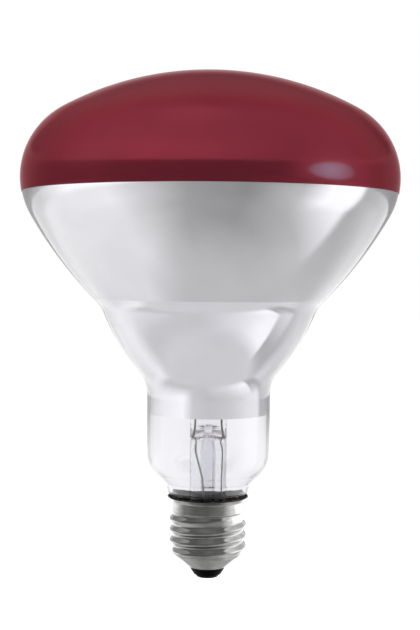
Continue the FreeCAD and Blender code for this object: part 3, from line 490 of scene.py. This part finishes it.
def make_stem(glass, pinched):
    """Flared stem tube, pinched flat at its top round the wires, with a blown gas hole in front."""
    outside = rounded([(10.5, 15.1, 0), (10.55, 15.95, 0.2), (9.5, 16.1, 0.3), (6.2, 27, 14), (6.2, 58.1, 1.4),
                       (0, 58.1, 0)], 0.4)
    tube = [(6.2, z) for z in np.arange(32, 56.6, 0.3)]
    outside = [p for p in outside if p[1] < 32] + tube + [p for p in outside if p[1] > 56.6]
    inside = rounded([(0, 51.8, 0), (1.5, 51.8, 0.8), (1.5, 48.1, 0.6), (4.98, 47.6, 1.6), (5.0, 27, 14),
                      (8.35, 16.1, 0.3), (8.4, 15.1, 0)], 0.3)
    rings = []
    for outline, half in ((outside, PRESS_HALF), (inside, PRESS_BORE_HALF)):
        for r, z in outline:
            points = ring(r, z, 96)
            flat = half * np.tanh(points[:, 1] / half)
            crimp = 1 + 0.05 * math.sin(2 * math.pi * z / 1.7)
            points[:, 1] += smooth(PRESS_FOOT, PRESS_TOP, z) * (flat * crimp - points[:, 1])
            rings.append(points)
    body = loft("stem_glass", rings, loop=True)
    drill(body, GAS_HOLE, 1.2, 7.0)
    fit(body, glass, "clear_glass", "stem")
    body.data.materials.append(pinched)
    for face in body.data.polygons:
        face.material_index = int(face.center.z > 47.3 * MM)

    rod = rounded([(0, 57.6, 0), (1.6, 57.6, 0.2), (1.6, 77.6, 0.4), (2.8, 78, 1), (2.8, 81.5, 1), (0, 81.5, 0)], 0.25)
    fit(lathe("arbor_rod", rod, loop=False, count=48), glass, "clear_glass")

    tube = rounded([(2.25, 47.5, 0), (2.25, 13.0, 1.5), (0, 13.0, 0)], 0.25)
    bore = rounded([(0, 14.2, 0), (1.5, 15.0, 0.6), (1.5, 47.5, 0)], 0.25)
    fit(lathe("exhaust_pipe", tube + bore, loop=True, count=64), clear_glass("drawn_soda_lime_tube", 0.08, "#fefeff"),
        "clear_glass", "exhaust_tube")

    lip = []
    around = np.linspace(0, 2 * math.pi, 12, endpoint=False)
    reach = 1.0 + 0.24 * np.cos(around)
    for a in np.linspace(0, 2 * math.pi, 40, endpoint=False):
        lip.append(np.column_stack([1.7 * reach * math.cos(a),
                                    -2.95 + 1.0 * reach * math.sin(a) + 0.2 * np.sin(around),
                                    GAS_HOLE[2] + 1.05 * reach * math.sin(a) + 0.2 * np.sin(around)]))
    fit(loft("gas_hole_lip", lip, loop=True), glass, "clear_glass")


def make_coil():
    """The filament: fine tungsten wire wound into a coil along an arc round the axis."""
    tungsten = drawn_metal("wound_tungsten_wire", "#77787c", "#4b4b50", 0.35, 0.3e-3)
    open_half = math.radians(30)
    start, stop = -math.pi / 2 + open_half, 1.5 * math.pi - open_half
    count = COIL_TURNS * 10
    along = np.linspace(start, stop, count)
    wind = np.linspace(0, 2 * math.pi * COIL_TURNS, count)
    radius = COIL_ARC + COIL_RADIUS * np.cos(wind)
    path = np.column_stack([radius * np.cos(along), radius * np.sin(along), COIL_AT + COIL_RADIUS * np.sin(wind)])
    way = np.gradient(path, axis=0)
    way /= np.linalg.norm(way, axis=1)[:, None]
    up = np.cross(way, np.column_stack([np.cos(along), np.sin(along), np.zeros(count)]))
    up /= np.linalg.norm(up, axis=1)[:, None]
    side = np.cross(up, way)
    rings = [path[:1]]
    angle = np.linspace(0, 2 * math.pi, 6, endpoint=False)[:, None]
    for i in range(count):
        rings.append(path[i] + COIL_WIRE * (np.cos(angle) * side[i] + np.sin(angle) * up[i]))
    rings.append(path[-1:])
    fit(loft("filament_coil", rings), tungsten, "tungsten", "filament")


def make_side_solder(tin):
    """The solder spot on the rim at the back, flowed over the end of the side lead."""
    low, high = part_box("side_solder")
    middle = np.array([(a + b) / 2 for a, b in zip(low, high)]) / MM
    half = np.array([(b - a) / 2 for a, b in zip(low, high)]) / MM
    rings = []
    for lift in np.linspace(-1, 1, 15):
        spread = math.sqrt(max(0.0, 1 - lift ** 2))
        points = ring(spread, lift, 32)
        turn = np.arctan2(points[:, 1], points[:, 0])
        points[:, :2] *= (1 - 0.06 * (1 + np.sin(3 * turn + 0.4)))[:, None]
        rings.append(middle + points * half)
    fit(loft("rim_solder", rings), tin, "solder", "side_solder")


def make_wires():
    """The lead and support wires keep their solids, and get a drawn finish."""
    nickel = drawn_metal("drawn_nickel_wire", "#928e86", "#6a665f", 0.3, 0.4e-3)
    molybdenum = drawn_metal("drawn_molybdenum_wire", "#8f9094", "#66676b", 0.35, 0.4e-3)
    finishes = {"centre_lead": nickel, "side_lead": nickel}
    finishes.update({f"support_{i}": molybdenum for i in range(1, 6)})
    for node, metal in finishes.items():
        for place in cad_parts[node].material_slots:
            place.material = metal


# Studio

def make_camera():
    lens = bpy.data.cameras.new("camera")
    lens.sensor_width = 36.0
    lens.lens = 70.93
    lens.clip_start = 0.01
    lens.clip_end = 100
    camera = bpy.data.objects.new("camera", lens)
    tilt = Matrix.Rotation(math.radians(90 - 2.252), 4, "X")
    roll = Matrix.Rotation(math.radians(0.45), 4, "Z")
    camera.matrix_world = Matrix.Translation((0.00025, -0.420, 0.10566)) @ tilt @ roll
    bpy.context.collection.objects.link(camera)
    bpy.context.scene.camera = camera


# The studio that gloss and mirror show: a card on the left, a dark camera side, a window and its post on the right.
# Brightness by bearing in degrees from the camera, in rings from the floor up.
# Each ring takes over from the one below it between two heights, given as sines of their elevation.
# The outside of the lamp: its cap shows the rings below the horizon, its red front those above.
OUTSIDE = [
    (-2.0, -1.5, [(-180, 0.4), (180, 0.4)]),
    (-0.97, -0.85, [(-180, 0.4), (-120, 0.8), (0, 0.3), (120, 0.9), (180, 0.4)]),
    (-0.6, -0.4, [(-180, 1.5), (-120, 1.4), (-80, 0.35), (-45, 0.2), (0, 0.2), (50, 0.4), (80, 1.4), (180, 1.7)]),
    (-0.15, -0.12, [(-180, 0.7), (-145, 0.4), (-100, 0.1), (45, 0.15), (55, 1.0), (100, 0.9), (115, 0.3), (145, 0.3),
                    (180, 0.7)]),
    (0.215, 0.245, [(-180, 0.5), (-155, 0.4), (-145, 0.05), (-75, 0.2), (75, 0.25), (145, 0.05), (155, 0.4),
                    (180, 0.5)]),
    (0.35, 0.5, [(-180, 0.1), (0, 0.25), (180, 0.1)]),
]
# The sheet of light over the lamp, which only its red front shows.
CANOPY = [
    (0.215, 0.245, [(-180, 0.0), (-130, 0.1), (-100, 0.7), (-40, 1.7), (0, 1.7), (50, 0.7), (110, 0.5), (140, 0.0)]),
    (0.5, 0.9, [(-180, 0.4), (-30, 1.1), (110, 0.5), (180, 0.4)]),
]
# The flank, whose film is bonded to the glass.
FLANK = [
    (-2.0, -1.5, [(-180, 0.6), (180, 0.6)]),
    (-0.98, -0.87, [(-180, 0.8), (-75, 0.9), (-20, 0.4), (25, 0.35), (95, 0.6), (120, 0.55), (180, 0.8)]),
    (-0.78, -0.56, [(-180, 0.8), (-70, 1.05), (-15, 0.4), (25, 0.3), (60, 0.6), (80, 1.2), (105, 1.2), (110, 0.4),
                    (180, 0.8)]),
    (-0.32, -0.26, [(-180, 0.5), (-130, 0.6), (-95, 1.25), (-55, 1.25), (-35, 0.4), (30, 0.25), (60, 0.45), (80, 1.25),
                    (105, 1.25), (110, 0.4), (180, 0.5)]),
    (-0.1, -0.05, [(-180, 0.4), (180, 0.4)]),
]
# The waist and neck, whose film lies a hair off the glass and which see nearer things.
NEAR = [
    (-2.0, -1.5, [(-180, 0.8), (180, 0.8)]),
    (-0.84, -0.75, [(-180, 0.9), (-125, 1.2), (-100, 0.7), (-10, 0.75), (45, 1.0), (75, 1.3), (90, 1.3), (92, 0.5),
                    (115, 0.5), (130, 0.9), (180, 0.9)]),
    (-0.68, -0.32, [(-180, 0.75), (-95, 1.2), (-50, 1.4), (-30, 0.8), (0, 0.7), (40, 0.8), (110, 1.05), (115, 0.6),
                    (180, 0.75)]),
    (-0.15, 0.1, [(-180, 1.05), (180, 1.05)]),
]
BRIGHTEST = 2.0


def brightness(tree, way, rings):
    """The brightness that a table gives, by the direction in which a ray leaves."""
    way = add(tree, "SeparateXYZ", {"Vector": way})
    ahead = add(tree, "Math", {0: way.outputs["Y"], 1: -1.0}, operation="MULTIPLY")
    turn = add(tree, "Math", {0: way.outputs["X"], 1: ahead.outputs[0]}, operation="ARCTAN2")
    share = add(tree, "MapRange", {"Value": turn.outputs[0], "From Min": -math.pi, "From Max": math.pi})
    level = 0.0
    for low, high, stops in rings:
        ramp = add(tree, "ValToRGB", {"Fac": share.outputs[0]})
        marks = ramp.color_ramp.elements
        while len(marks) < len(stops):
            marks.new(0.5)
        for mark, (angle, bright) in zip(marks, stops):
            mark.position = (angle + 180) / 360
            mark.color = [bright / BRIGHTEST] * 3 + [1.0]
        above = add(tree, "MapRange", {"Value": way.outputs["Z"], "From Min": low, "From Max": high})
        level = add(tree, "Mix", {"Factor": above.outputs[0], "A": level, "B": ramp.outputs[0]}).outputs[0]
    return add(tree, "Math", {0: level, 1: BRIGHTEST}, operation="MULTIPLY").outputs[0]


def make_room():
    """A white room: plain white behind, and the walls, window and softbox that gloss and mirror show."""
    world = bpy.data.worlds.new("white_studio")
    bpy.context.scene.world = world
    world.use_nodes = True
    tree = world.node_tree
    ray = add(tree, "TexCoord").outputs["Generated"]
    levels = [brightness(tree, ray, rings) for rings in (OUTSIDE, FLANK, NEAR)]
    way = add(tree, "SeparateXYZ", {"Vector": ray})
    aside = add(tree, "Math", {0: way.outputs["X"], 1: way.outputs["X"]}, operation="MULTIPLY")
    soft = add(tree, "Math", {0: aside.outputs[0], 1: 0.6, 2: 0.1}, operation="MULTIPLY_ADD")
    path = add(tree, "LightPath")
    # A ray from the flank has passed one or two faces of glass, and one from the waist or neck has passed more.
    level = levels[0]
    for depth, further in ((0.5, levels[1]), (2.5, levels[2])):
        deep = add(tree, "Math", {0: path.outputs["Transmission Depth"], 1: depth}, operation="GREATER_THAN")
        level = add(tree, "Mix", {"Factor": deep.outputs[0], "A": level, "B": further}).outputs[0]
    white = add(tree, "Math", {0: path.outputs["Is Camera Ray"], 1: path.outputs["Is Transmission Ray"]},
                operation="MAXIMUM")
    lit = add(tree, "Mix", {"Factor": white.outputs[0], "A": soft.outputs[0], "B": 1.0})
    mirrored = add(tree, "Math", {0: path.outputs["Glossy Depth"], 1: path.outputs["Diffuse Depth"]},
                   operation="GREATER_THAN")
    shown = add(tree, "Mix", {"Factor": mirrored.outputs[0], "A": lit.outputs[0], "B": level})
    walls = tree.nodes["Background"]
    walls.inputs["Color"].default_value = linear("#ffffff")
    tree.links.new(shown.outputs[0], walls.inputs["Strength"])


def make_floor():
    """A pale sheet under the lamp, white to the eye, that keeps a soft shadow and hides nothing from below."""
    span, low = 6.0, -0.16
    corners = [(x * span, y * span, low) for x, y in ((-1, -1), (1, -1), (1, 1), (-1, 1))]
    mesh = bpy.data.meshes.new("pale_floor")
    mesh.from_pydata(corners, [], [(0, 1, 2, 3)])
    floor = bpy.data.objects.new("pale_floor", mesh)
    bpy.context.collection.objects.link(floor)
    material, tree, shader = finish("matt_white_paper", Base_Color=linear("#f2f2f2"), Roughness=0.9)
    path = add(tree, "LightPath")
    white = add(tree, "Emission", {"Strength": 1.6})
    share = add(tree, "Math", {0: path.outputs["Is Camera Ray"], 1: 0.6}, operation="MULTIPLY")
    paper = add(tree, "MixShader", {0: share.outputs[0], 1: shader.outputs[0], 2: white.outputs[0]})
    below = add(tree, "NewGeometry").outputs["Backfacing"]
    mixed = add(tree, "MixShader", {0: below, 1: paper.outputs[0], 2: add(tree, "BsdfTransparent").outputs[0]})
    tree.links.new(mixed.outputs[0], tree.nodes["Material Output"].inputs["Surface"])
    mesh.materials.append(material)
    floor.visible_glossy = False
    floor.visible_transmission = False


def for_gloss_of(piece, source):
    """Makes a source of light show in the gloss of one piece only."""
    source.visible_glossy = True
    source.visible_diffuse = False
    lit = bpy.data.collections.new("lit_by_" + source.name)
    lit.objects.link(bpy.data.objects[piece])
    source.light_linking.receiver_collection = lit


def make_canopy():
    """A wide sheet of light hung over the lamp for its red front alone, clear to all else."""
    arc = [(3000 * math.cos(a), 3000 * math.sin(a)) for a in np.linspace(0.1, math.pi / 2, 24)]
    sheet = lathe("canopy", arc, loop=False)
    material, tree, _ = finish("glowing_sheet")
    ray = add(tree, "VectorMath", {0: add(tree, "NewGeometry").outputs["Position"]}, operation="NORMALIZE")
    glow = add(tree, "Emission", {"Strength": brightness(tree, ray.outputs[0], CANOPY)})
    both = add(tree, "AddShader", {0: add(tree, "BsdfTransparent").outputs[0], 1: glow.outputs[0]})
    tree.links.new(both.outputs[0], tree.nodes["Material Output"].inputs["Surface"])
    sheet.data.materials.append(material)
    for_gloss_of("ruby_front", sheet)
    sheet.visible_camera = False
    sheet.visible_transmission = False
    sheet.visible_shadow = False


def lamp(name, place, aim, size, power, colour="#ffffff"):
    """A soft round lamp turned towards a point of the object, out of sight and kept out of its mirrors."""
    light = bpy.data.lights.new(name, "AREA")
    light.shape = "DISK"
    light.size = size
    light.energy = power
    light.color = linear(colour)[:3]
    source = bpy.data.objects.new(name, light)
    bpy.context.collection.objects.link(source)
    source.location = place
    way = Vector(place) - Vector(aim)
    source.rotation_euler = way.to_track_quat("Z", "Y").to_euler()
    source.visible_glossy = False
    source.visible_camera = False
    source.visible_transmission = False
    return source


def glint(piece, *settings):
    """A lamp that only the gloss of one piece shows."""
    source = lamp(*settings)
    for_gloss_of(piece, source)
    return source


def make_lamps():
    """Plain softboxes, a glow inside the bulb, an oval glint on the lacquer and two cards for the thread."""
    lamp("overhead_softbox", (-0.2, -0.3, 1.5), (0, 0, 0.1), 0.9, 29.0)
    lamp("right_softbox", (1.1, -0.3, 0.4), (0, 0, 0.11), 0.5, 14.0)
    lamp("left_softbox", (-1.1, -0.3, 0.4), (0, 0, 0.11), 0.5, 11.0)
    lamp("glow_let_through_by_lacquer", (0, 0, 0.15), (0, 0, 0.09), 0.06, 0.12)
    spot = glint("ruby_front", "lacquer_glint", (0.96, -0.29, 0.17), (0, 0, 0.135), 0.6, 0.36, "#50f4e8").data
    spot.shape = "ELLIPSE"
    spot.size_y = 0.3
    spot.spread = math.radians(45)
    glint("threaded_cap", "right_card", (0.82, 0.38, 0.42), (0, 0, 0.015), 2.0, 8.0)
    glint("threaded_cap", "left_card", (-0.69, 0.58, 0.42), (0, 0, 0.015), 2.0, 3.0)


bpy.context.scene.view_settings.view_transform = "Standard"
make_camera()
make_room()
make_floor()

glass = make_bulb()
tin = make_cap()
make_cement()
make_stem(glass, clear_glass("pinched_soda_lime_glass", 0.2, "#fefeff"))
make_coil()
make_side_solder(tin)
make_wires()
make_lamps()
make_canopy()
